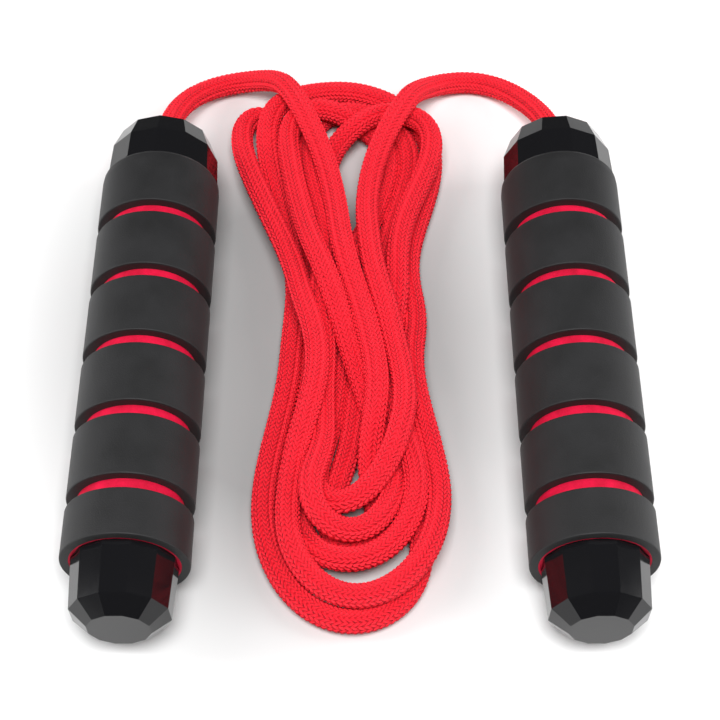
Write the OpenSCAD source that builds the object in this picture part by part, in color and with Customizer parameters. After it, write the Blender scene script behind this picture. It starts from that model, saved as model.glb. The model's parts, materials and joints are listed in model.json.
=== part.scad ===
// Jump rope: a braided rope between two free-spinning foam-grip handles.
// Each handle is built upright along its own axis, from the face of its rear
// cap (0) to the face of its nose cap (handle_len), and is then laid down so
// that the rope leaves it toward +Y. The handles rest on the plane Z = 0 with
// the rope gathered in a loose hank between them. The origin is on that plane,
// under the middle of the pair.

/* [Handles] */
// Length of one handle between its two end faces
handle_len = 168; // [150:1:190]
// Outside diameter of the foam grip rings
grip_dia = 36; // [30:1:42]
// Distance between the two handle axes, at their middles
handle_pitch = 126; // [90:1:200]
// Angle by which each handle points in toward the other at its rope end
toe_in = 1; // [0:0.5:8]

/* [Grip] */
// Number of foam grip rings on a handle
ring_count = 6; // [4:1:7]
// Length of a full grip ring
ring_len = 19.3; // [14:0.1:22]
// Length of the shorter ring beside the rear cap
end_ring_len = 14.3; // [10:0.1:22]
// Width of the groove between two grip rings
groove_w = 4.2; // [3:0.1:6]
// Depth of that groove, down to the coloured sleeve
groove_depth = 3; // [1.5:0.5:4]
// Wall of the coloured foam sleeve
sleeve_wall = 1.5; // [1.5:0.5:4]
// Wall of the handle's core tube
tube_wall = 2.5; // [2:0.5:4]

/* [End caps] */
// Number of facets around both caps
cap_sides = 12; // [8:2:16]
// Length of the nose cap's chamfered front tier
nose_tip_len = 7; // [4:0.5:12]
// Length of the rear cap that shows behind the grip
tail_len = 19.5; // [12:0.5:26]
// Length of the rear cap's chamfered end tier
tail_tip_len = 4.5; // [2:0.5:8]
// Turn of the two nose caps' facets: left, right
nose_turn = [28, 10]; // [0:1:30]
// Turn of the two rear caps' facets: left, right
tail_turn = [12, 17]; // [0:1:30]

/* [Rope] */
// Diameter of the braided rope
rope_dia = 7; // [5:0.5:10]
// Height of the gathered hank
hank_h = 21; // [14:0.5:30]

/* [Swivel] */
// Ball bearing: bore, outside diameter, width
bearing = [10, 19, 5]; // [3:0.5:30]
// Diameter of the bearing's balls
ball_dia = 3.2; // [2:0.1:5]
// Number of balls in a bearing
ball_count = 9; // [6:1:12]
// Running gap around parts that turn against each other
run_gap = 0.05; // [0.02:0.01:0.2]

/* [Hidden] */
$fn = 64;
part_gap = 0.1;
foam = [0.17, 0.17, 0.18];
gloss = [0.09, 0.09, 0.1];
red = [0.86, 0.06, 0.13];
steel = [0.75, 0.76, 0.78];
brass = [0.8, 0.65, 0.3];
white = [0.9, 0.9, 0.88];

grip_r = grip_dia / 2;
sleeve_r = grip_r - groove_depth;
tube_r = sleeve_r - sleeve_wall;
lip_bore_r = sleeve_r - 0.02;
lip_r = sleeve_r + 0.5;
tube_bore_r = tube_r - tube_wall;
rope_r = rope_dia / 2;

// Places along a handle's own axis
ring_step = ring_len + groove_w;
tube_start = tail_len + 0.5;
lip_start = tail_len + 0.1;
lip_end = tube_start + 1;
grip_end = tail_len + end_ring_len + (ring_count - 1) * ring_step;
nose_step = handle_len - nose_tip_len;
plug_len = 12;
bearing_end = nose_step;
bearing_start = bearing_end - bearing[2];
bearing_mid = (bearing_start + bearing_end) / 2;
spindle_start = 148;
clip_t = 1;
washer_t = 1.2;
knot_end = spindle_start - washer_t;

// Radii to the corners of the faceted caps
nose_base_r = 17.4;
nose_step_r = 16.9;
nose_tip_r = 14.3;
tail_base_r = 14.9;
tail_step_r = 14;
tail_tip_r = 8.85;

// Bearing rings and the swivel
race_bore_r = bearing[0] / 2;
race_out_r = bearing[1] / 2;
ball_r = ball_dia / 2;
ball_path_r = (race_bore_r + race_out_r) / 2;
land = 1.2;
head_r = 6.3;
head_hole_r = 7;

// Centre line of the rope's two loose ends, from the handle to the hank
lead_left = [
    [-61.5, 84, 18], [-61.4, 91, 17.8], [-60.8, 97, 16], [-59, 104, 13], [-56, 111, 10],
    [-52.3, 116.3, 8], [-46, 121.4, 5], [-40, 123, 4], [-34.8, 121.4, 5], [-29.8, 117.2, 8.6],
    [-24.6, 111, 12], [-19.4, 102.4, 14]
];
lead_right = [
    [61.5, 84, 18], [61.4, 91, 17.6], [60.2, 97, 15.5], [57.5, 103.5, 12.5], [53.5, 111, 9.5],
    [48.1, 117.3, 7], [41.5, 122.6, 4.5], [34.5, 124, 4], [28.5, 122, 4.5], [22.5, 117, 7],
    [18, 110, 10], [14.6, 103.4, 13]
];
lead_sides = 12;

// Outline of the gathered hank on the plane it lies on
hank_line = [
    [-41, 92], [-37, 74], [-31, 56], [-24, 38], [-20.5, 22], [-21.5, 8], [-25, -8],
    [-28, -24], [-30.5, -40], [-30, -54], [-25, -67], [-15, -77], [-3, -81], [9, -77],
    [18, -67], [23.5, -52], [25, -36], [22.5, -20], [19, -4], [17, 14], [17.5, 34],
    [21, 52], [25, 70], [27, 88], [23, 101], [14, 110], [-2, 117], [-18, 115],
    [-32, 106], [-39, 100]
];
hank_round = 6;

SIDES = ["left", "right"];
HANDLE_PARTS = [
    "core_tube", "foam_sleeve", "nose_cap", "rear_cap", "bearing_outer", "bearing_inner",
    "bearing_balls", "bearing_cage", "bearing_keeper", "swivel_spindle", "spindle_clip",
    "stop_washer", "rope_end"
];
RING_PARTS = [for (n = [1:ring_count]) str("grip_ring_", n)];

// Lays a handle down in its own place: side is 0 for left and 1 for right.
module lay(side) {
    s = 2 * side - 1;
    translate([s * handle_pitch / 2, 0, grip_r])
        rotate([0, 0, s * toe_in])
            rotate([-90, 0, 0])
                translate([0, 0, -handle_len / 2])
                    children();
}

// A straight tube between two places along the axis.
module tube(from, to, r_out, r_in) {
    translate([0, 0, from])
        difference() {
            cylinder(r = r_out, h = to - from);
            translate([0, 0, -1])
                cylinder(r = r_in, h = to - from + 2);
        }
}

// Solid with flat facets all round. steps lists [corner radius, place] upward.
module faceted(steps, turn) {
    flat = cos(180 / cap_sides);
    right_side = [for (p = steps) [p[0] * flat, p[1]]];
    left_side = [for (i = [len(steps) - 1:-1:0]) [-steps[i][0] * flat, steps[i][1]]];
    intersection_for(i = [0:cap_sides / 2 - 1])
        rotate([0, 0, turn + (i + 0.5) * 360 / cap_sides])
            rotate([90, 0, 0])
                linear_extrude(height = 3 * grip_dia, center = true)
                    polygon(concat(right_side, left_side));
}

module core_tube(side) {
    color(white)
        lay(side)
            tube(tube_start, grip_end, tube_r, tube_r - tube_wall);
}

// Foam sleeve; its rear end flares into a thin lip around the rear cap.
module foam_sleeve(side) {
    color(red)
        lay(side)
            rotate_extrude()
                polygon([
                    [tube_r, tube_start], [lip_bore_r, tube_start], [lip_bore_r, lip_start],
                    [lip_r, lip_start], [lip_r, lip_end], [sleeve_r, lip_end],
                    [sleeve_r, grip_end], [tube_r, grip_end]
                ]);
}

// Foam ring with eased edges. The first also rounds down to the nose cap, and
// the last is bored out for the sleeve's lip.
module grip_ring(side, n) {
    ease = 0.4;
    shoulder = n == 1 ? 3 : ease;
    drop = n == 1 ? 0.8 : ease;
    top = grip_end - (n - 1) * ring_step;
    last = n == ring_count;
    bottom = top - (last ? end_ring_len : ring_len);
    inside = last
        ? [[sleeve_r, lip_end], [lip_r, lip_end], [lip_r, bottom]]
        : [[sleeve_r, bottom]];
    color(foam)
        lay(side)
            rotate_extrude()
                polygon(concat(inside, [
                    [grip_r - ease, bottom], [grip_r - ease / 4, bottom + ease / 4],
                    [grip_r, bottom + ease], [grip_r, top - shoulder],
                    [grip_r - drop / 4, top - shoulder / 3], [grip_r - drop, top], [sleeve_r, top]
                ]));
}

// Faceted front cap: its plug fits the core tube and its bore seats the bearing.
module nose_cap(side) {
    plug_start = grip_end - plug_len;
    color(gloss)
        lay(side)
            difference() {
                union() {
                    faceted([[nose_base_r, grip_end], [nose_step_r, nose_step],
                        [nose_tip_r, handle_len]], nose_turn[side]);
                    translate([0, 0, plug_start])
                        cylinder(r = tube_bore_r, h = plug_len + 1);
                }
                translate([0, 0, plug_start - 1])
                    cylinder(r = race_out_r, h = bearing_end - plug_start + 1);
                translate([0, 0, plug_start])
                    cylinder(r = head_hole_r, h = handle_len);
            }
}

// Faceted rear cap with a hollow plug that pushes into the core tube.
module rear_cap(side) {
    flange_end = tube_start - part_gap;
    plug_r = tube_bore_r - part_gap;
    plug_end = flange_end + 18;
    floor_t = 3;
    color(gloss)
        lay(side)
            difference() {
                union() {
                    faceted([[tail_tip_r, 0], [tail_step_r, tail_tip_len],
                        [tail_base_r, flange_end]], tail_turn[side]);
                    translate([0, 0, flange_end - 1])
                        cylinder(r = plug_r, h = plug_end - flange_end + 1);
                }
                translate([0, 0, floor_t])
                    cylinder(r = plug_r - 2, h = plug_end);
            }
}

// Groove that the balls run in, the same in both races.
module ball_groove() {
    rotate_extrude()
        translate([ball_path_r, bearing_mid])
            circle(r = ball_r + run_gap);
}

module bearing_outer(side) {
    color(steel)
        lay(side)
            difference() {
                tube(bearing_start, bearing_end, race_out_r, race_out_r - land);
                ball_groove();
            }
}

module bearing_inner(side) {
    color(steel)
        lay(side)
            difference() {
                tube(bearing_start, bearing_end, race_bore_r + land, race_bore_r);
                ball_groove();
            }
}

module bearing_balls(side) {
    color(steel)
        lay(side)
            for (i = [0:ball_count - 1])
                rotate([0, 0, i * 360 / ball_count])
                    translate([ball_path_r, 0, bearing_mid])
                        sphere(r = ball_r);
}

// Cage that spaces the balls, with one round window for each.
module bearing_cage(side) {
    half_h = ball_r + 0.5;
    color(brass)
        lay(side)
            difference() {
                tube(bearing_mid - half_h, bearing_mid + half_h, ball_path_r + 0.6, ball_path_r - 0.6);
                for (i = [0:ball_count - 1])
                    rotate([0, 0, i * 360 / ball_count])
                        translate([ball_path_r, 0, bearing_mid])
                            rotate([0, 90, 0])
                                cylinder(r = ball_r + run_gap, h = 3, center = true);
            }
}

// Ring pressed in behind the bearing to hold it in the nose cap.
module bearing_keeper(side) {
    color(white)
        lay(side)
            tube(bearing_start - 5, bearing_start, race_out_r, race_out_r - land);
}

// Swivel that the rope passes through: a journal in the bearing and a head
// that stands in the opening of the nose cap.
module swivel_spindle(side) {
    clip_floor_r = race_bore_r - 0.6;
    color(steel)
        lay(side)
            difference() {
                union() {
                    tube(spindle_start, bearing_end, race_bore_r, rope_r + run_gap);
                    tube(bearing_end, handle_len, head_r, rope_r + run_gap);
                }
                tube(bearing_start - clip_t, bearing_start, race_bore_r + 1, clip_floor_r);
            }
}

module spindle_clip(side) {
    color(steel)
        lay(side)
            tube(bearing_start - clip_t, bearing_start, race_bore_r + 1.6, race_bore_r - 0.6);
}

module stop_washer(side) {
    color(steel)
        lay(side)
            tube(knot_end, spindle_start, race_bore_r + 2, rope_r + 0.2);
}

// End of the rope inside the handle: it runs back through the swivel to a
// stopper knot that bears on the washer.
module rope_end(side) {
    knot_r = 7;
    knot_len = 13;
    tail_len_in = 7;
    color(red)
        lay(side)
            rotate_extrude()
                polygon([
                    [0, knot_end - knot_len - tail_len_in], [rope_r, knot_end - knot_len - tail_len_in],
                    [rope_r, knot_end - knot_len + 1.5], [knot_r - 0.8, knot_end - knot_len + 3.5],
                    [knot_r, knot_end - knot_len / 2], [knot_r - 0.8, knot_end - 3.5],
                    [rope_r + 1, knot_end], [rope_r, knot_end], [rope_r, handle_len], [0, handle_len]
                ]);
}

// Functions that sweep a tube with round rings along a list of points.
function unit(v) = v / norm(v);
function along(p, i) = unit(p[min(i + 1, len(p) - 1)] - p[max(i - 1, 0)]);
function side_way(t) = unit(cross(t, [0, 0, 1]));
function ring_points(p, i, r, n) =
    let (t = along(p, i), u = side_way(t), v = cross(u, t))
    [for (k = [0:n - 1]) p[i] + r * (cos(k * 360 / n) * u + sin(k * 360 / n) * v)];

module swept_tube(path, r, n) {
    last = len(path) - 1;
    points = [for (i = [0:last]) each ring_points(path, i, r, n)];
    walls = [for (i = [0:last - 1]) each [for (k = [0:n - 1])
        [i * n + k, i * n + (k + 1) % n, (i + 1) * n + (k + 1) % n, (i + 1) * n + k]]];
    near = [for (k = [n - 1:-1:0]) k];
    far = [for (k = [0:n - 1]) last * n + k];
    polyhedron(points, concat([near], walls, [far]), convexity = 6);
}

module rope_lead(path) {
    color(red)
        swept_tube(path, rope_r, lead_sides);
}

module rope_hank() {
    color(red)
        linear_extrude(height = hank_h)
            offset(r = hank_round)
                offset(delta = -hank_round)
                    polygon(hank_line);
}

for (side = [0, 1]) {
    core_tube(side);
    foam_sleeve(side);
    for (n = [1:ring_count])
        grip_ring(side, n);
    nose_cap(side);
    rear_cap(side);
    bearing_outer(side);
    bearing_inner(side);
    bearing_balls(side);
    bearing_cage(side);
    bearing_keeper(side);
    swivel_spindle(side);
    spindle_clip(side);
    stop_washer(side);
    rope_end(side);
}
rope_lead(lead_left);  // rope_lead_left
rope_lead(lead_right);  // rope_lead_right
rope_hank();
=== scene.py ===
# Jump rope: the looks of two foam-ringed handles and one braided rope gathered
# in a hank, built on the imported CAD frame. Lengths are in metres unless a name
# says millimetres. The rope's route is given as listed points, then settled on itself.
import json
import math

import bpy
import numpy as np
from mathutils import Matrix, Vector

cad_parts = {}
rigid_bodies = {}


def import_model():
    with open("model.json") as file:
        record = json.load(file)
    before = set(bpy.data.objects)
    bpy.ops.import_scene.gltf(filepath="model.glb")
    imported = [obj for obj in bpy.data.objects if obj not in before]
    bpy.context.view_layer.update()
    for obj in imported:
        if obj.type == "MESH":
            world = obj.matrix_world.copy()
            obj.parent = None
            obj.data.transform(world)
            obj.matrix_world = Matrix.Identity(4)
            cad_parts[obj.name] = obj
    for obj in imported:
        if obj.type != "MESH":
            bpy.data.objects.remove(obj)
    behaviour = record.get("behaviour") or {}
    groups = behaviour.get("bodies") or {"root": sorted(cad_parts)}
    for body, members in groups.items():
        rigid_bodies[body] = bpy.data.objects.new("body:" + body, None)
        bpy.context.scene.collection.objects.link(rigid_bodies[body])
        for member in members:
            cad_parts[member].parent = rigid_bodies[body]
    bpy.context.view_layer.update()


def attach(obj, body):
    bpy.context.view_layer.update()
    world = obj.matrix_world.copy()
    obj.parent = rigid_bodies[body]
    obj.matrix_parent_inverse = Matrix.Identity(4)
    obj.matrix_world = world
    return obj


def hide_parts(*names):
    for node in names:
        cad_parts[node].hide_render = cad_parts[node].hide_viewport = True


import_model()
scene = bpy.context.scene
scene.view_settings.view_transform = "Standard"

# ---------------------------------------------------------------- camera
camera_data = bpy.data.cameras.new("camera")
camera_data.lens = 93.155
camera_data.sensor_width = 36.0
camera_data.clip_start = 0.01
camera = bpy.data.objects.new("camera", camera_data)
camera.location = (0.0, -0.298, 0.4729)
camera.rotation_euler = (math.radians(33.44), 0.0, 0.0)
scene.collection.objects.link(camera)
scene.camera = camera

# ---------------------------------------------------------------- rope path
ROPE_MM = 7.0
FLOOR_GAP_MM = 3.8
DRAWN_STEP_MM = 2.4
SKIN_STEP_MM = 0.36
SETTLE_ROUNDS = 500
# Each run: how firmly it keeps its drawn place, from 1.5 (firm) to 0.1 (nearly
# free), and its points (x, y, height) in millimetres.
ROUTE = [
    # Left lead, from the swivel round to the hank
    (1.5, [
        (-61.5, 84, 18), (-61.4, 91, 17.8), (-60.8, 97, 16), (-59, 104, 13), (-56, 111, 10),
        (-52.3, 116.3, 8), (-46, 121.4, 5), (-40, 123, 4), (-34.8, 121.4, 5), (-29.8, 117.2, 8.6),
        (-24.6, 111, 12)
    ]),
    # Long run at the top, down the middle
    (1.2, [
        (-19.9, 101.4, 16), (-15.9, 93.8, 17), (-13.4, 89, 17), (-11.8, 83.5, 16.5), (-10, 76.5, 15),
        (-8.6, 68, 14.5), (-7, 58, 14), (-5.6, 48.4, 14), (-3.9, 38.3, 14), (-1.4, 28, 14),
        (1, 18, 14.5), (3.5, 8, 14), (4.9, -2.3, 14), (4.9, -12.2, 13.5), (3, -22.4, 12)
    ]),
    # Innermost bottom loop
    (1, [
        (5, -32, 8.5), (8, -39.5, 5.5), (7, -48, 4), (-1.5, -54, 3.5), (-10, -51, 3.5),
        (-12, -42, 3.5), (-8.5, -32, 3.5)
    ]),
    # Hidden run back up the middle
    (0.6, [
        (-2.6, -22, 3.5), (-1.5, -13, 3.5), (-0.3, -3, 3.5), (0.4, 9, 3.5), (0.4, 21, 3.5),
        (-1, 33, 3.5), (-3.8, 45, 3.5), (-6.5, 56, 4), (-9.8, 68, 5), (-12.7, 79, 6)
    ]),
    # Top arc and right-hand top loop
    (0.8, [
        (-14, 87, 7), (-8.5, 92.5, 8.5), (-2, 96.5, 10.5), (3.5, 101, 11.5), (9.6, 105, 10.5),
        (14.5, 105.5, 9.6), (18.8, 103.2, 9.4), (22.2, 98.5, 9.6), (23.7, 92.5, 10)
    ]),
    # Down the right-hand side
    (1, [
        (22.9, 86.3, 11), (21.1, 81, 12), (19.2, 75, 12), (17.4, 69.8, 12), (15.5, 64.7, 12),
        (13.5, 59.7, 12), (12.2, 54.6, 12), (11.2, 44.5, 12), (10.2, 35, 10.5), (9.6, 26, 7.5)
    ]),
    # Lower right run
    (0.3, [
        (9.4, 17, 4.2), (9.8, 7, 3.8), (11.2, -4, 3.8), (13.2, -14, 3.8), (15.4, -25, 3.8),
        (16.8, -36, 3.8), (17.4, -48, 4), (17, -57, 4)
    ]),
    # Outermost bottom loop
    (1, [
        (14.5, -65, 4), (9, -70.8, 3.8), (2.5, -74.3, 3.8), (-3, -75, 3.8), (-8.5, -74, 3.8),
        (-14, -70.6, 3.8), (-19, -65.6, 3.8), (-23.2, -58.6, 3.8), (-26.2, -51.3, 3.8),
        (-27.6, -44, 3.8), (-27.6, -34.5, 4), (-26.8, -26, 4.5), (-24.9, -16, 4.5), (-23, -6, 4.5),
        (-20.9, 4, 4.5), (-18.6, 14.5, 4.5), (-17.4, 25, 4.5)
    ]),
    # Up the left edge
    (0.8, [
        (-17.8, 36, 4.5), (-19.3, 47, 5), (-21.7, 57, 5.5), (-24.4, 67, 6.5), (-27, 78, 8),
        (-29, 88, 9.5), (-30.2, 97, 10.5), (-28.6, 105, 10), (-23.8, 111.5, 6.6)
    ]),
    # Highest top arc, at the back
    (0.8, [
        (-18.5, 115, 5.2), (-12, 118.3, 4), (-6.6, 119.3, 3.5), (0, 118.3, 3.5), (6, 115.5, 3.5),
        (12, 111.3, 3.5), (17.5, 106, 3.5), (21.8, 99, 3.5), (23.3, 91, 4)
    ]),
    # Down the right edge
    (0.8, [
        (22.5, 83.5, 4), (21.3, 77.5, 4), (20.2, 71, 4), (18.1, 65.5, 4), (16.2, 60.5, 4),
        (15.3, 54, 4), (14.8, 46, 4), (14.2, 38, 4.2), (14.2, 28, 5), (14.2, 20, 7), (14.4, 11, 9),
        (15.2, 3, 9.5), (16.6, -6, 9.5), (18.6, -15, 9.5), (20.2, -23, 9.5), (21.2, -31, 9.5),
        (21.5, -39, 9.5)
    ]),
    # Second bottom loop
    (1, [
        (20.8, -48, 9.5), (18.5, -56.5, 10), (14, -63.6, 10), (7.5, -68.5, 9.5), (0.5, -70.2, 9),
        (-6.2, -69, 9), (-12.8, -64.5, 9.5), (-17.3, -57.5, 10.5), (-19.8, -49.5, 11.5),
        (-20.2, -41, 12)
    ]),
    # Up the left side
    (1, [
        (-18.8, -34, 12.5), (-16.8, -25, 13.5), (-14.4, -15, 14), (-12.6, -5, 13.5), (-12.3, 5.2, 13),
        (-13, 15.4, 12.5), (-15.2, 25.6, 12.5), (-18.2, 35.5, 12.5), (-21.6, 45.6, 12.5),
        (-25.7, 55.8, 12.5), (-29.8, 66, 12), (-33.4, 76.2, 11.5), (-36.8, 86.3, 10.5),
        (-38.9, 96, 9.5)
    ]),
    # Round the left-hand top loop
    (0.9, [
        (-38.4, 102.6, 7.6), (-33.4, 109, 5), (-26.4, 108, 4), (-22.8, 100, 3.8)
    ]),
    # Hidden run down again
    (0.15, [
        (-21.5, 89, 4), (-18.5, 77, 4), (-16, 65, 4), (-14.8, 53, 3.5), (-13.4, 42, 3.5),
        (-12.8, 31, 3.5), (-12.4, 20, 3.5), (-13.4, 9, 3.5), (-15.8, -2, 3.5), (-17, -13, 3.5),
        (-19, -25, 3.5)
    ]),
    # Third bottom loop
    (0.7, [
        (-18.2, -36, 4.5), (-16.5, -46, 5.5), (-12.5, -53.5, 6.5), (-6.5, -57.8, 7.5), (0, -58.5, 8),
        (6.5, -55.5, 8), (11.5, -49.5, 8), (14.2, -41, 8), (14.3, -31, 8)
    ]),
    # Hidden run up the right
    (0.15, [
        (12.4, -21, 7.5), (10, -11, 8.5), (7.6, -1, 9.2), (5.4, 10, 9.2), (4.5, 21, 9), (5, 32, 8.8),
        (7.3, 44, 7), (10, 56, 6), (11.8, 68, 4), (13.2, 80, 4), (14.4, 90, 4.5), (14, 98.5, 4.5)
    ]),
    # Hidden arc and run down the left
    (0.1, [
        (9.5, 104, 4), (3, 107.5, 3.5), (-4, 109, 3.5), (-11, 108.5, 3.5), (-16.5, 104.5, 3.5),
        (-19, 97, 4), (-19, 87, 6), (-17.5, 76, 8.5), (-15.5, 65, 9), (-13.5, 54, 9), (-12, 43, 9),
        (-10.2, 32, 9), (-9.2, 21, 8.8), (-9.4, 10, 8.8), (-10.3, -1, 8.5), (-10.8, -12, 7.5),
        (-12, -23, 7)
    ]),
    # Fourth bottom loop
    (0.8, [
        (-13.6, -34, 7), (-13.4, -42, 7.5), (-10.6, -48.7, 8.5), (-6, -51.8, 9.5), (0, -51.3, 10),
        (5.5, -47.5, 10), (9.3, -41, 10), (10.6, -33.5, 10)
    ]),
    # Second long run at the top
    (1, [
        (9, -26, 9), (6.5, -19, 8.5), (4.2, -11.5, 8.5), (1.9, -4, 9.5), (-0.3, 4, 10.8),
        (-3.8, 14.1, 12), (-6.8, 24.2, 12.8), (-10, 34.3, 13), (-13.5, 44.5, 13), (-16.2, 54.6, 13),
        (-18.5, 64.7, 13), (-20, 74.9, 12.5), (-21.4, 85, 12), (-22.4, 91.5, 11.5)
    ]),
    # Inner top arc
    (0.8, [
        (-23.9, 99, 9.6), (-20.8, 105, 8.6), (-14.5, 107.3, 7.6), (-7.5, 104.5, 7.5), (-1.3, 101.8, 7),
        (5, 100.5, 6.5), (9.6, 96.5, 5.5)
    ]),
    # Hidden run down the middle
    (0.3, [
        (10.4, 88.5, 4.5), (8.8, 79, 4), (6.5, 70, 5.5), (3.5, 61, 8), (-0.5, 52, 9.5), (-4, 43, 9.5),
        (-6.8, 34, 8), (-7.2, 25, 4.5), (-6.4, 15, 3.5), (-7, 4, 3.5), (-8.2, -6, 3.5),
        (-9.2, -16, 3.5), (-10.6, -24, 4)
    ]),
    # Inner bottom loop, on top
    (1, [
        (-12.4, -30, 4.5), (-12.3, -36.5, 6.5), (-10.3, -41.5, 8.5), (-6.3, -43.8, 10.5),
        (-1.5, -41.8, 12), (2.6, -37.5, 13), (6.2, -32.5, 13.5), (9.6, -27.3, 14)
    ]),
    # Fourth long run at the top
    (1, [
        (11.7, -22.3, 14), (12.9, -15, 14), (13, -7.5, 14), (12.1, 2.6, 14), (9.9, 12.7, 14),
        (7.5, 23, 14), (4.9, 33, 14), (2.9, 43, 14), (1.9, 52.5, 14.5), (2, 62, 15), (3, 71.6, 16),
        (4.9, 81.5, 16), (6.9, 88.5, 16.5), (10.8, 96.3, 16.6), (14.6, 102.4, 15.4),
        (18.4, 109.6, 11.4)
    ]),
    # Right lead, to the other swivel
    (1.5, [
        (22.5, 117, 7), (28.5, 122, 4.5), (34.5, 124, 4), (41.5, 122.6, 4.5), (48.1, 117.3, 7),
        (53.5, 111, 9.5), (57.5, 103.5, 12.5), (60.2, 97, 15.5), (61.4, 91, 17.6), (61.5, 84, 18)
    ]),
]


def smooth_line(points, firm, step):
    """A smooth curve through the points, resampled at equal steps."""
    count = len(points)
    ends = np.vstack([2 * points[0] - points[1], points, 2 * points[-1] - points[-2]])
    line = []
    weight = []
    for i in range(count - 1):
        p0, p1, p2, p3 = ends[i:i + 4]
        t1 = np.linalg.norm(p1 - p0) ** 0.5
        t2 = t1 + np.linalg.norm(p2 - p1) ** 0.5
        t3 = t2 + np.linalg.norm(p3 - p2) ** 0.5
        for t in np.linspace(t1, t2, 16, endpoint=False):
            a1 = (t1 - t) / t1 * p0 + t / t1 * p1
            a2 = (t2 - t) / (t2 - t1) * p1 + (t - t1) / (t2 - t1) * p2
            a3 = (t3 - t) / (t3 - t2) * p2 + (t - t2) / (t3 - t2) * p3
            b1 = (t2 - t) / t2 * a1 + t / t2 * a2
            b2 = (t3 - t) / (t3 - t1) * a2 + (t - t1) / (t3 - t1) * a3
            line.append((t2 - t) / (t2 - t1) * b1 + (t - t1) / (t2 - t1) * b2)
            weight.append(firm[i] + (firm[i + 1] - firm[i]) * (t - t1) / (t2 - t1))
    line.append(points[-1])
    weight.append(firm[-1])
    line = np.array(line)
    walked = np.concatenate([[0], np.cumsum(np.linalg.norm(np.diff(line, axis=0), axis=1))])
    places = np.linspace(0, walked[-1], int(round(walked[-1] / step)) + 1)
    even = np.stack([np.interp(places, walked, line[:, k]) for k in range(3)], 1)
    return even, np.interp(places, walked, weight)


# How the rope settles. The hold on the drawn place weakens as the rounds go by,
# while the thickness that turns keep between them grows to the rope's own.
HOLD_LAST = 0.03
HOLD_EXTRA_AT_FIRST = 0.16
HOLD_UNTIL = 0.93
PLAN_HOLD = np.array([1, 1, 0.2])
SAG_MM = 0.03
LATE_SAG_MM = 0.005
LATE_FROM = 0.85
THICKNESS_AT_FIRST = 0.7
THICKNESS_GAIN = 0.6
BEND_SHARES = ((2, 0.14), (4, 0.03))
PAIRS_EVERY = 8
PAIRS_WITHIN_MM = 4
OWN_REACH = 2.2
CONTACT_PASSES = 3
PUSH = 1.5
FIXED_ENDS = 3


def settle(start, firm, thick, rounds):
    """Lays the rope on the floor and on itself, its turns about a thickness apart."""
    line = start.copy()
    count = len(line)
    first_step = np.linalg.norm(np.diff(line, axis=0), axis=1).mean()
    skip = int(np.ceil(OWN_REACH * thick / first_step))
    for turn in range(rounds):
        done = turn / rounds
        if turn % PAIRS_EVERY == 0:
            apart = ((line[:, None, :] - line[None, :, :]) ** 2).sum(-1)
            one, two = np.nonzero(np.triu(apart < (thick + PAIRS_WITHIN_MM) ** 2, skip + 1))
        keep = thick * min(1, THICKNESS_AT_FIRST + THICKNESS_GAIN * done)
        hold = (HOLD_EXTRA_AT_FIRST * (1 - done) + HOLD_LAST) * firm[:, None] * PLAN_HOLD
        if done < HOLD_UNTIL:
            line += (start - line) * hold
        line[:, 2] -= SAG_MM if done < LATE_FROM else LATE_SAG_MM
        for reach, share in BEND_SHARES:
            pull = (line[2 * reach:] + line[:-2 * reach]) / 2 - line[reach:-reach]
            line[reach:-reach] += share * 0.5 * pull
            line[2 * reach:] -= share * 0.25 * pull
            line[:-2 * reach] -= share * 0.25 * pull
        for again in range(CONTACT_PASSES):
            gap = line[one] - line[two]
            far = np.sqrt((gap ** 2).sum(1)) + 1e-9
            hit = np.nonzero(far < keep)[0]
            push = ((keep - far[hit]) / far[hit])[:, None] * gap[hit]
            shared = np.zeros(count)
            moved = np.zeros_like(line)
            np.add.at(moved, one[hit], 0.5 * push)
            np.add.at(moved, two[hit], -0.5 * push)
            np.add.at(shared, one[hit], 1)
            np.add.at(shared, two[hit], 1)
            line += moved / np.maximum(shared, 1)[:, None] * PUSH
            line[:, 2] = np.maximum(line[:, 2], FLOOR_GAP_MM)
            step = np.linalg.norm(np.diff(line, axis=0), axis=1).mean()
            for odd in (0, 1):
                a = np.arange(odd, count - 1, 2)
                edge = line[a + 1] - line[a]
                size = np.linalg.norm(edge, axis=1)[:, None]
                fix = 0.5 * (size - step) / size * edge
                line[a] += fix
                line[a + 1] -= fix
        line[:FIXED_ENDS] = start[:FIXED_ENDS]
        line[-FIXED_ENDS:] = start[-FIXED_ENDS:]
        line[:, 2] = np.maximum(line[:, 2], FLOOR_GAP_MM)
    return line


def soften(line, rounds):
    """Evens out small steps along the line."""
    for again in range(rounds):
        line[1:-1] = 0.5 * line[1:-1] + 0.25 * (line[:-2] + line[2:])
    return line


drawn = np.array([point for firm, points in ROUTE for point in points], float)
drawn_firm = np.array([firm for firm, points in ROUTE for point in points], float)
loose_line, loose_firm = smooth_line(drawn, drawn_firm, DRAWN_STEP_MM)
settled = settle(loose_line, loose_firm, ROPE_MM, SETTLE_ROUNDS)
settled = soften(settled, 3)
rope_line = smooth_line(settled, np.ones(len(settled)), SKIN_STEP_MM)[0]

# ---------------------------------------------------------------- rope mesh
# Sixteen strands wind each way; each passes over two and under two, which
# gives columns of leaning stitches along the rope.
STRANDS = 16
STITCH_MM = 1.55
STITCH_DEEP_MM = 0.6
STITCH_PROUD_MM = 0.15
ROPE_SIDES = 64


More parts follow.
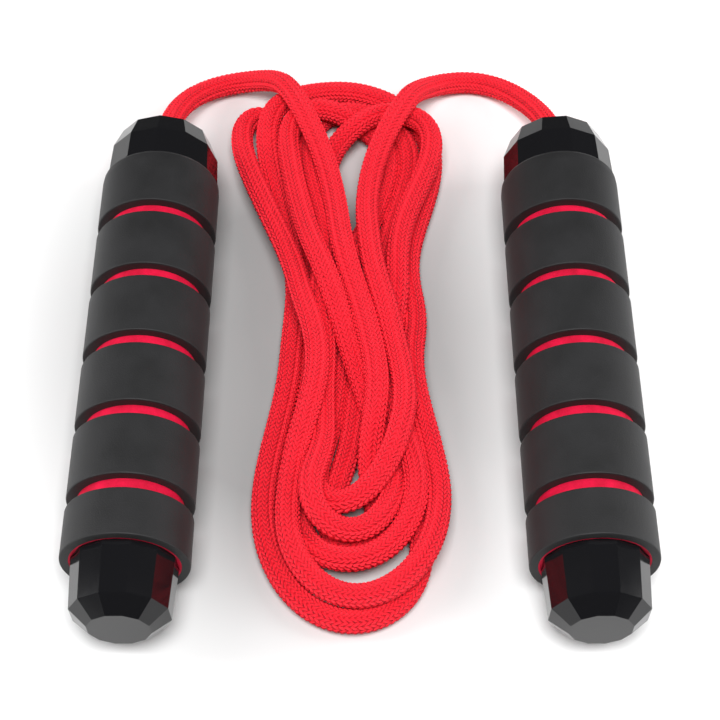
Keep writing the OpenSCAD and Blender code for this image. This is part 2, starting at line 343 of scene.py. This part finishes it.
def stitch_height(turns, along):
    """How far the braid stands up, from 0 to 1, round and along the rope."""
    right = STRANDS * turns + along / STITCH_MM
    left = STRANDS * turns - along / STITCH_MM
    column = np.floor(right) + np.floor(left)
    right_on_top = np.mod(column, 4) < 2
    across = np.where(right_on_top, right - np.floor(right), left - np.floor(left))
    over = np.mod(right + left, 2) / 2
    ridge = 1 - (2 * across - 1) ** 2
    crown = 1 - 0.8 * (2 * over - 1) ** 2
    return ridge * crown


def braided_tube(name, line, radius):
    """A tube along the line whose skin carries the braid."""
    rings = len(line)
    ahead = np.gradient(line, axis=0)
    ahead /= np.linalg.norm(ahead, axis=1)[:, None]
    side = np.zeros_like(line)
    side[0] = np.cross(ahead[0], (0, 0, 1))
    side[0] /= np.linalg.norm(side[0])
    for i in range(1, rings):
        carried = side[i - 1] - ahead[i] * np.dot(side[i - 1], ahead[i])
        side[i] = carried / np.linalg.norm(carried)
    up = np.cross(ahead, side)
    along = np.concatenate([[0], np.cumsum(np.linalg.norm(np.diff(line, axis=0), axis=1))])
    turns = np.arange(ROPE_SIDES) / ROPE_SIDES
    height = stitch_height(turns[None, :], along[:, None])
    reach = radius + STITCH_PROUD_MM - STITCH_DEEP_MM * (1 - height)
    angle = turns * 2 * math.pi
    out = np.cos(angle)[None, :, None] * side[:, None, :] + np.sin(angle)[None, :, None] * up[:, None, :]
    points = (line[:, None, :] + reach[:, :, None] * out).reshape(-1, 3) / 1000
    ring = np.arange(rings - 1)[:, None] * ROPE_SIDES
    here = np.arange(ROPE_SIDES)[None, :]
    there = (here + 1) % ROPE_SIDES
    faces = np.stack([ring + here, ring + there, ring + ROPE_SIDES + there, ring + ROPE_SIDES + here], -1)
    faces = faces.reshape(-1, 4)
    mesh = bpy.data.meshes.new(name)
    mesh.vertices.add(len(points))
    mesh.vertices.foreach_set("co", points.ravel())
    mesh.loops.add(faces.size)
    mesh.loops.foreach_set("vertex_index", faces.ravel())
    mesh.polygons.add(len(faces))
    mesh.polygons.foreach_set("loop_start", np.arange(0, faces.size, 4))
    mesh.update(calc_edges=True)
    mesh.shade_smooth()
    # The map runs once round the rope and then along it, one stitch to a unit.
    next_turns = turns + 1 / ROPE_SIDES
    one_ring = np.stack([turns, next_turns, next_turns, turns], 1)
    corner_turn = np.tile(one_ring, (rings - 1, 1, 1))
    lower = (along[:-1] / STITCH_MM)[:, None]
    upper = (along[1:] / STITCH_MM)[:, None]
    corner_along = np.repeat(np.stack([lower, lower, upper, upper], -1), ROPE_SIDES, axis=1)
    corners = np.stack([corner_turn, corner_along], -1).reshape(-1)
    mesh.uv_layers.new(name="braid").data.foreach_set("uv", corners)
    piece = bpy.data.objects.new(name, mesh)
    scene.collection.objects.link(piece)
    return piece


# ---------------------------------------------------------------- materials
def new_material(name, colour, roughness):
    material = bpy.data.materials.new(name)
    material.use_nodes = True
    shader = material.node_tree.nodes["Principled BSDF"]
    shader.inputs["Base Color"].default_value = (*colour, 1)
    shader.inputs["Roughness"].default_value = roughness
    return material, material.node_tree, shader


def add(tree, kind, **settings):
    node = tree.nodes.new(kind)
    for key, value in settings.items():
        setattr(node, key, value)
    return node


def noise_at(tree, scale, detail, kind="ShaderNodeTexNoise"):
    """A noise pattern fixed to the object, scale in bumps per metre."""
    place = add(tree, "ShaderNodeTexCoord")
    noise = add(tree, kind)
    noise.inputs["Scale"].default_value = scale
    if kind == "ShaderNodeTexNoise":
        noise.inputs["Detail"].default_value = detail
    tree.links.new(place.outputs["Object"], noise.inputs["Vector"])
    return noise


def ramp_between(tree, source, low, high, start=0.3, end=0.7):
    """A colour that runs from low to high as the source goes from start to end."""
    ramp = add(tree, "ShaderNodeValToRGB")
    ramp.color_ramp.elements[0].position = start
    ramp.color_ramp.elements[1].position = end
    ramp.color_ramp.elements[0].color = (*low, 1)
    ramp.color_ramp.elements[1].color = (*high, 1)
    tree.links.new(source, ramp.inputs["Fac"])
    return ramp.outputs["Color"]


def spread(tree, source, low, high, end=1.0):
    """Maps a source from 0..end to low..high."""
    node = add(tree, "ShaderNodeMapRange")
    node.inputs["From Max"].default_value = end
    node.inputs["To Min"].default_value = low
    node.inputs["To Max"].default_value = high
    tree.links.new(source, node.inputs["Value"])
    return node.outputs["Result"]


def bump(tree, source, distance, strength, before=None):
    node = add(tree, "ShaderNodeBump")
    node.inputs["Distance"].default_value = distance
    node.inputs["Strength"].default_value = strength
    tree.links.new(source, node.inputs["Height"])
    if before:
        tree.links.new(before, node.inputs["Normal"])
    return node.outputs["Normal"]


def math_on(tree, kind, first, second=0.0):
    """One step of arithmetic on a socket and a socket or number."""
    node = add(tree, "ShaderNodeMath", operation=kind)
    tree.links.new(first, node.inputs[0])
    if isinstance(second, (int, float)):
        node.inputs[1].default_value = second
    else:
        tree.links.new(second, node.inputs[1])
    return node.outputs[0]


def falling_off(tree, source, share):
    """1 in the middle of a 0..1 source, less share towards both its ends."""
    centred = math_on(tree, "SUBTRACT", source, 0.5)
    square = math_on(tree, "MULTIPLY", centred, centred)
    return spread(tree, square, 1, 1 - share, end=0.25)


def braid_pattern(tree):
    """The same stitches as the tube's skin, finer, from its map."""
    chart = add(tree, "ShaderNodeUVMap", uv_map="braid")
    parts = add(tree, "ShaderNodeSeparateXYZ")
    tree.links.new(chart.outputs["UV"], parts.inputs["Vector"])
    strand_place = math_on(tree, "MULTIPLY", parts.outputs["X"], STRANDS)
    right = math_on(tree, "ADD", strand_place, parts.outputs["Y"])
    left = math_on(tree, "SUBTRACT", strand_place, parts.outputs["Y"])
    whole_right = math_on(tree, "FLOOR", right)
    whole_left = math_on(tree, "FLOOR", left)
    column = math_on(tree, "ADD", whole_right, whole_left)
    quarter = math_on(tree, "MULTIPLY", column, 0.25)
    right_on_top = math_on(tree, "LESS_THAN", math_on(tree, "FRACT", quarter), 0.49)
    part_right = math_on(tree, "FRACT", right)
    part_left = math_on(tree, "FRACT", left)
    swap = math_on(tree, "MULTIPLY", math_on(tree, "SUBTRACT", part_right, part_left), right_on_top)
    across = math_on(tree, "ADD", part_left, swap)
    over = math_on(tree, "FRACT", strand_place)
    return math_on(tree, "MULTIPLY", falling_off(tree, across, 1), falling_off(tree, over, 0.8))


def rope_fibre(name, braided):
    """Shiny synthetic yarn: fine threads on each stitch, and painted shade darkening the valleys between
    stitches.
    """
    material, tree, shader = new_material(name, (0.78, 0.008, 0.025), 0.66)
    mottle = noise_at(tree, 700, 3)
    thread = noise_at(tree, 5200, 2)
    pattern = braid_pattern(tree) if braided else mottle.outputs["Fac"]
    # Painted shade: on the braided rope this ramp darkens the colour in the valleys between stitches. On
    # the cut end the same ramp follows the random mottle.
    painted_valley_shade_and_mottle = ramp_between(tree, pattern, (0.42, 0.0006, 0.006), (1.0, 0.014, 0.034), 0.0, 0.24)
    blend = add(tree, "ShaderNodeMix", data_type="RGBA", blend_type="MULTIPLY")
    blend.inputs["Factor"].default_value = 0.35
    soft = ramp_between(tree, mottle.outputs["Fac"], (0.7, 0.68, 0.68), (1, 1, 1), 0.35, 0.6)
    tree.links.new(painted_valley_shade_and_mottle, blend.inputs["A"])
    tree.links.new(soft, blend.inputs["B"])
    tree.links.new(blend.outputs["Result"], shader.inputs["Base Color"])
    relief = bump(tree, pattern, 0.0006, 0.85)
    tree.links.new(bump(tree, thread.outputs["Fac"], 0.00012, 0.5, relief), shader.inputs["Normal"])
    shader.inputs["Specular IOR Level"].default_value = 0.3
    shader.inputs["Sheen Weight"].default_value = 0.06
    shader.inputs["Sheen Roughness"].default_value = 0.4
    shader.inputs["Sheen Tint"].default_value = (1, 0.3, 0.35, 1)
    return material


def foam_skin():
    """Black closed-cell foam: pores, a faint mottle and a soft even shine."""
    material, tree, shader = new_material("foam_skin", (0.028, 0.028, 0.03), 0.62)
    mottle = noise_at(tree, 90, 4)
    tree.links.new(
        ramp_between(tree, mottle.outputs["Fac"], (0.009, 0.009, 0.0095), (0.015, 0.015, 0.016)),
        shader.inputs["Base Color"],
    )
    tree.links.new(spread(tree, mottle.outputs["Fac"], 0.5, 0.7), shader.inputs["Roughness"])
    pores = noise_at(tree, 2600, 0, "ShaderNodeTexVoronoi")
    grain = noise_at(tree, 1500, 3)
    first = bump(tree, pores.outputs["Distance"], 0.00010, 0.35)
    tree.links.new(bump(tree, grain.outputs["Fac"], 0.00012, 0.3, first), shader.inputs["Normal"])
    shader.inputs["Specular IOR Level"].default_value = 0.3
    shader.inputs["Sheen Weight"].default_value = 0.03
    shader.inputs["Sheen Roughness"].default_value = 0.5
    return material


def sleeve_foam():
    """Red foam that shows in the grooves between the black rings."""
    material, tree, shader = new_material("sleeve_foam", (0.85, 0.01, 0.05), 0.75)
    mottle = noise_at(tree, 260, 4)
    tree.links.new(
        ramp_between(tree, mottle.outputs["Fac"], (0.42, 0.0008, 0.022), (0.64, 0.002, 0.04)),
        shader.inputs["Base Color"],
    )
    pores = noise_at(tree, 2200, 0, "ShaderNodeTexVoronoi")
    tree.links.new(bump(tree, pores.outputs["Distance"], 0.00015, 0.5), shader.inputs["Normal"])
    shader.inputs["Specular IOR Level"].default_value = 0.2
    return material


def gloss_plastic():
    """Moulded glossy black plastic with the least trace of handling marks."""
    material, tree, shader = new_material("gloss_plastic", (0.006, 0.006, 0.007), 0.08)
    smear = noise_at(tree, 60, 5)
    tree.links.new(spread(tree, smear.outputs["Fac"], 0.04, 0.14), shader.inputs["Roughness"])
    ripple = noise_at(tree, 120, 2)
    tree.links.new(bump(tree, ripple.outputs["Fac"], 0.00006, 0.25), shader.inputs["Normal"])
    shader.inputs["Specular IOR Level"].default_value = 0.3
    return material


def core_plastic():
    """White moulded core tube and bearing keeper."""
    material, tree, shader = new_material("core_white", (0.78, 0.77, 0.74), 0.45)
    mottle = noise_at(tree, 150, 3)
    tree.links.new(
        ramp_between(tree, mottle.outputs["Fac"], (0.7, 0.69, 0.66), (0.8, 0.79, 0.77)),
        shader.inputs["Base Color"],
    )
    tree.links.new(bump(tree, mottle.outputs["Fac"], 0.0001, 0.15), shader.inputs["Normal"])
    return material


def ground_steel(name, colour, low, high):
    """Metal with fine turning marks."""
    material, tree, shader = new_material(name, colour, low)
    shader.inputs["Metallic"].default_value = 1.0
    marks = noise_at(tree, 900, 3)
    tree.links.new(spread(tree, marks.outputs["Fac"], low, high), shader.inputs["Roughness"])
    tree.links.new(bump(tree, marks.outputs["Fac"], 0.00003, 0.2), shader.inputs["Normal"])
    return material


FIBRE = rope_fibre("rope_fibre", True)
CUT_END = rope_fibre("rope_fibre_end", False)
FOAM = foam_skin()
SLEEVE = sleeve_foam()
GLOSS = gloss_plastic()
CORE = core_plastic()
BEARING = ground_steel("bearing_steel_ground", (0.78, 0.78, 0.8), 0.08, 0.2)
BRASS = ground_steel("cage_brass_rolled", (0.83, 0.62, 0.28), 0.2, 0.35)
SWIVEL = ground_steel("swivel_steel_turned", (0.62, 0.62, 0.64), 0.22, 0.4)

CAD_LOOKS = {
    "core_tube": CORE,
    "foam_sleeve": SLEEVE,
    "nose_cap": GLOSS,
    "rear_cap": GLOSS,
    "bearing_outer": BEARING,
    "bearing_inner": BEARING,
    "bearing_balls": BEARING,
    "bearing_cage": BRASS,
    "bearing_keeper": CORE,
    "swivel_spindle": SWIVEL,
    "spindle_clip": SWIVEL,
    "stop_washer": SWIVEL,
    "rope_end": CUT_END,
}
for side in ("left", "right"):
    for part, look in CAD_LOOKS.items():
        node = bpy.data.objects[side + "_" + part]
        node.material_slots[0].material = look
    for number in range(1, 7):
        node = bpy.data.objects[side + "_grip_ring_" + str(number)]
        node.material_slots[0].material = FOAM

# ---------------------------------------------------------------- rope piece
rope = braided_tube("braided_rope", rope_line, ROPE_MM / 2)
rope.data.materials.append(FIBRE)
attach(rope, "rope")
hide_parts("rope_lead_left", "rope_lead_right", "rope_hank")

# ---------------------------------------------------------------- stage
floor_mesh = bpy.data.meshes.new("floor")
floor_mesh.from_pydata([(-3, -3, 0), (3, -3, 0), (3, 3, 0), (-3, 3, 0)], [], [(0, 1, 2, 3)])
floor = bpy.data.objects.new("floor", floor_mesh)
scene.collection.objects.link(floor)
paper, paper_tree, paper_shader = new_material("studio_paper_painted_shade", (0.8, 0.8, 0.8), 0.9)
# Painted shade: the floor's colour darkens to grey in a soft patch round the middle, between the handles,
# in place of cast shade.
where = add(paper_tree, "ShaderNodeTexCoord")
squeeze = add(paper_tree, "ShaderNodeMapping")
squeeze.inputs["Location"].default_value = (0.22, -0.15, 0)
squeeze.inputs["Scale"].default_value = (10, 7.5, 1)
painted_shade_patch = add(paper_tree, "ShaderNodeTexGradient", gradient_type="SPHERICAL")
paper_tree.links.new(where.outputs["Object"], squeeze.inputs["Vector"])
paper_tree.links.new(squeeze.outputs["Vector"], painted_shade_patch.inputs["Vector"])
paper_tree.links.new(
    ramp_between(paper_tree, painted_shade_patch.outputs["Fac"], (0.92, 0.92, 0.92), (0.35, 0.35, 0.35), 0.0, 0.6),
    paper_shader.inputs["Base Color"],
)
floor.data.materials.append(paper)

world = bpy.data.worlds.new("studio")
world.use_nodes = True
world.node_tree.nodes["Background"].inputs["Color"].default_value = (1, 1, 1, 1)
world.node_tree.nodes["Background"].inputs["Strength"].default_value = 0.08
scene.world = world


def area_light(name, place, aim, size, power):
    lamp = bpy.data.lights.new(name, "AREA")
    lamp.shape = "RECTANGLE"
    lamp.size = size[0]
    lamp.size_y = size[1]
    lamp.energy = power
    holder = bpy.data.objects.new(name, lamp)
    holder.location = place
    holder.rotation_euler = (Vector(aim) - Vector(place)).to_track_quat("-Z", "Y").to_euler()
    scene.collection.objects.link(holder)


area_light("top_soft", (0.0, -0.35, 1.05), (0, 0, 0), (0.5, 0.45), 13.6)
area_light("left_strip", (-0.7, 0.05, 0.21), (-0.05, 0, 0.02), (0.24, 1.1), 5)
area_light("right_strip", (0.7, 0.05, 0.21), (0.05, 0, 0.02), (0.24, 1.1), 5.4)
